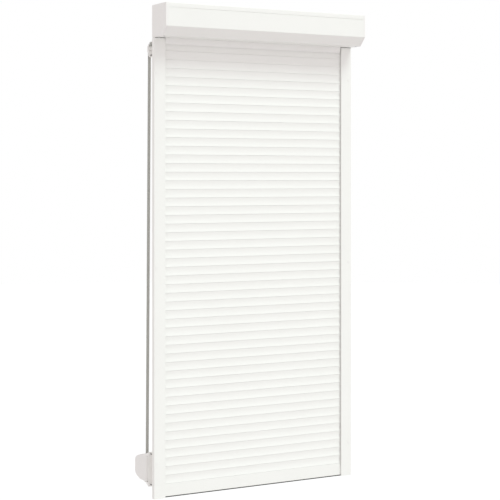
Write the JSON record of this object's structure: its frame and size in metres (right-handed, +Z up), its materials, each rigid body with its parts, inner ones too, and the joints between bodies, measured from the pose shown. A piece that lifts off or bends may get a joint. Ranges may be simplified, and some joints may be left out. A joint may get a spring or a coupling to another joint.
{
  "type": "roller shutter",
  "caption": "White front-mounted roller shutter with a slanted box, guide rails, interlocking slat curtain, pull strap, strap guide and swivelling strap winder.",
  "frame": {"origin": "centre of the rectangle of rail fixing holes, on the wall plane at the backs of the rails", "axes": "+X along the width, +Y from the street into the room, +Z up"},
  "size_m": [1, 0.3315, 2.1],
  "materials": {
    "white_aluminium": "white powder coat, satin",
    "white_plastic": "white moulded, satin",
    "grey_plastic": "dark grey moulded, satin",
    "white_slat": "white extruded, satin",
    "white_steel": "white lacquer",
    "grey_strap": "woven",
    "seal_rubber": "matt",
    "brush_pile": "pile",
    "zinc_steel": "zinc plated",
    "bearing_steel": "ground",
    "spring_steel": "blued strip"
  },
  "bodies": {
    "frame": {"box_shell": "white_aluminium", "inspection_cover": "white_aluminium", "left_end_cap": "white_plastic", "right_end_cap": "white_plastic", "left_guide_rail": "white_aluminium", "right_guide_rail": "white_aluminium", "rail_brushes": "brush_pile", "inlet_guides": "grey_plastic", "cover_screws": "zinc_steel", "rail_fixing_caps": "white_plastic", "left_bearing_bracket": "zinc_steel", "right_bearing_bracket": "zinc_steel", "bearing_outer_rings": "bearing_steel", "bracket_screws": "zinc_steel", "strap_tube": "white_plastic", "strap_guide": "white_plastic", "guide_roller_pin": "zinc_steel", "strap_run": "grey_strap", "winder_bracket": "white_steel"},
    "roller": {"roller_tube": "zinc_steel", "strap_pulley": "white_plastic", "shaft_plug": "white_plastic", "bearing_inner_rings": "bearing_steel", "strap_winding": "grey_strap", "suspension_springs": "spring_steel"},
    "guide_wheel": {"guide_roller": "white_plastic"},
    "winder": {"winder_housing_left": "white_plastic", "winder_housing_right": "white_plastic", "winder_screws": "zinc_steel", "spool_axle": "zinc_steel", "strap_lead": "grey_strap"},
    "clamp": {"strap_clamp": "zinc_steel"},
    "spool": {"winder_spool": "white_plastic", "strap_coil": "grey_strap", "mainspring": "spring_steel"},
    "curtain_01": {"bottom_bar": "white_aluminium", "bottom_seal": "seal_rubber", "bar_end_plugs": "white_plastic", "slats_01": "white_slat"},
    "curtain_02": {"slats_02": "white_slat"},
    "curtain_03": {"slats_03": "white_slat"},
    "curtain_04": {"slats_04": "white_slat"},
    "curtain_05": {"slats_05": "white_slat"},
    "curtain_06": {"slats_06": "white_slat"},
    "curtain_07": {"slats_07": "white_slat"},
    "curtain_08": {"slats_08": "white_slat"},
    "curtain_09": {"slats_09": "white_slat"},
    "curtain_10": {"slats_10": "white_slat"},
    "curtain_11": {"slats_11": "white_slat"},
    "curtain_12": {"slats_12": "white_slat"},
    "curtain_13": {"slats_13": "white_slat"},
    "curtain_14": {"slats_14": "white_slat"},
    "curtain_15": {"slats_15": "white_slat"},
    "curtain_16": {"slats_16": "white_slat"},
    "curtain_17": {"slats_17": "white_slat"},
    "curtain_18": {"slats_18": "white_slat"}
  },
  "joints": [
    {"name": "curtain_lift", "type": "slide", "parent": "frame", "child": "curtain_01", "axis": [0, 0, 1], "range_m": [0, 1.9125], "deforming": ["slats_02", "slats_03", "slats_04", "slats_05", "slats_06", "slats_07", "slats_08", "slats_09", "slats_10", "slats_11", "slats_12", "slats_13", "slats_14", "slats_15", "slats_16", "slats_17", "slats_18", "suspension_springs"]},
    {"name": "roller_turn", "type": "hinge", "parent": "frame", "child": "roller", "pos_m": [0, -0.0685, 1.05], "axis": [1, 0, 0], "range_deg": [0, 2520]},
    {"name": "guide_wheel_turn", "type": "hinge", "parent": "frame", "child": "guide_wheel", "pos_m": [-0.48, 0.05852, 0.93944], "axis": [1, 0, 0], "range_deg": [-12600, 0]},
    {"name": "winder_swivel", "type": "hinge", "parent": "frame", "child": "winder", "pos_m": [-0.48, 0.0905, -0.8685], "axis": [0, 0, 1], "range_deg": [-90, 90]},
    {"name": "spool_turn", "type": "hinge", "parent": "winder", "child": "spool", "pos_m": [-0.48, 0.1501, -0.86975], "axis": [1, 0, 0], "range_deg": [0, 2520]},
    {"name": "clamp_release", "type": "hinge", "parent": "winder", "child": "clamp", "pos_m": [-0.48, 0.10711, -0.8305], "axis": [1, 0, 0], "range_deg": [0, 20], "stiffness_Nm_per_rad": 0.02, "springref_deg": -5.73},
    {"name": "curtain_02_lift", "type": "slide", "parent": "frame", "child": "curtain_02", "axis": [0, 0, 1], "range_m": [0, 1.8015]},
    {"name": "curtain_03_lift", "type": "slide", "parent": "frame", "child": "curtain_03", "axis": [0, 0, 1], "range_m": [0, 1.6905]},
    {"name": "curtain_04_lift", "type": "slide", "parent": "frame", "child": "curtain_04", "axis": [0, 0, 1], "range_m": [0, 1.5795]},
    {"name": "curtain_05_lift", "type": "slide", "parent": "frame", "child": "curtain_05", "axis": [0, 0, 1], "range_m": [0, 1.4685]},
    {"name": "curtain_06_lift", "type": "slide", "parent": "frame", "child": "curtain_06", "axis": [0, 0, 1], "range_m": [0, 1.3575]},
    {"name": "curtain_07_lift", "type": "slide", "parent": "frame", "child": "curtain_07", "axis": [0, 0, 1], "range_m": [0, 1.2465]},
    {"name": "curtain_08_lift", "type": "slide", "parent": "frame", "child": "curtain_08", "axis": [0, 0, 1], "range_m": [0, 1.1355]},
    {"name": "curtain_09_lift", "type": "slide", "parent": "frame", "child": "curtain_09", "axis": [0, 0, 1], "range_m": [0, 1.0245]},
    {"name": "curtain_10_lift", "type": "slide", "parent": "frame", "child": "curtain_10", "axis": [0, 0, 1], "range_m": [0, 0.9135]},
    {"name": "curtain_11_lift", "type": "slide", "parent": "frame", "child": "curtain_11", "axis": [0, 0, 1], "range_m": [0, 0.8025]},
    {"name": "curtain_12_lift", "type": "slide", "parent": "frame", "child": "curtain_12", "axis": [0, 0, 1], "range_m": [0, 0.6915]},
    {"name": "curtain_13_lift", "type": "slide", "parent": "frame", "child": "curtain_13", "axis": [0, 0, 1], "range_m": [0, 0.5805]},
    {"name": "curtain_14_lift", "type": "slide", "parent": "frame", "child": "curtain_14", "axis": [0, 0, 1], "range_m": [0, 0.4695]},
    {"name": "curtain_15_lift", "type": "slide", "parent": "frame", "child": "curtain_15", "axis": [0, 0, 1], "range_m": [0, 0.3585]},
    {"name": "curtain_16_lift", "type": "slide", "parent": "frame", "child": "curtain_16", "axis": [0, 0, 1], "range_m": [0, 0.2475]},
    {"name": "curtain_17_lift", "type": "slide", "parent": "frame", "child": "curtain_17", "axis": [0, 0, 1], "range_m": [0, 0.1365]},
    {"name": "curtain_18_lift", "type": "slide", "parent": "frame", "child": "curtain_18", "axis": [0, 0, 1], "range_m": [0, 0.0255]}
  ],
  "couplings": [
    {"joint": "roller_turn", "follows": "curtain_lift", "rad_per_m": 22.997},
    {"joint": "guide_wheel_turn", "follows": "curtain_lift", "rad_per_m": -114.99},
    {"joint": "spool_turn", "follows": "curtain_lift", "rad_per_m": 22.997},
    {"joint": "curtain_02_lift", "follows": "curtain_lift", "ratio": 0.94196},
    {"joint": "curtain_03_lift", "follows": "curtain_lift", "ratio": 0.88392},
    {"joint": "curtain_04_lift", "follows": "curtain_lift", "ratio": 0.82588},
    {"joint": "curtain_05_lift", "follows": "curtain_lift", "ratio": 0.76784},
    {"joint": "curtain_06_lift", "follows": "curtain_lift", "ratio": 0.7098},
    {"joint": "curtain_07_lift", "follows": "curtain_lift", "ratio": 0.65176},
    {"joint": "curtain_08_lift", "follows": "curtain_lift", "ratio": 0.59373},
    {"joint": "curtain_09_lift", "follows": "curtain_lift", "ratio": 0.53569},
    {"joint": "curtain_10_lift", "follows": "curtain_lift", "ratio": 0.47765},
    {"joint": "curtain_11_lift", "follows": "curtain_lift", "ratio": 0.41961},
    {"joint": "curtain_12_lift", "follows": "curtain_lift", "ratio": 0.36157},
    {"joint": "curtain_13_lift", "follows": "curtain_lift", "ratio": 0.30353},
    {"joint": "curtain_14_lift", "follows": "curtain_lift", "ratio": 0.24549},
    {"joint": "curtain_15_lift", "follows": "curtain_lift", "ratio": 0.18745},
    {"joint": "curtain_16_lift", "follows": "curtain_lift", "ratio": 0.12941},
    {"joint": "curtain_17_lift", "follows": "curtain_lift", "ratio": 0.071373},
    {"joint": "curtain_18_lift", "follows": "curtain_lift", "ratio": 0.013333}
  ]
}
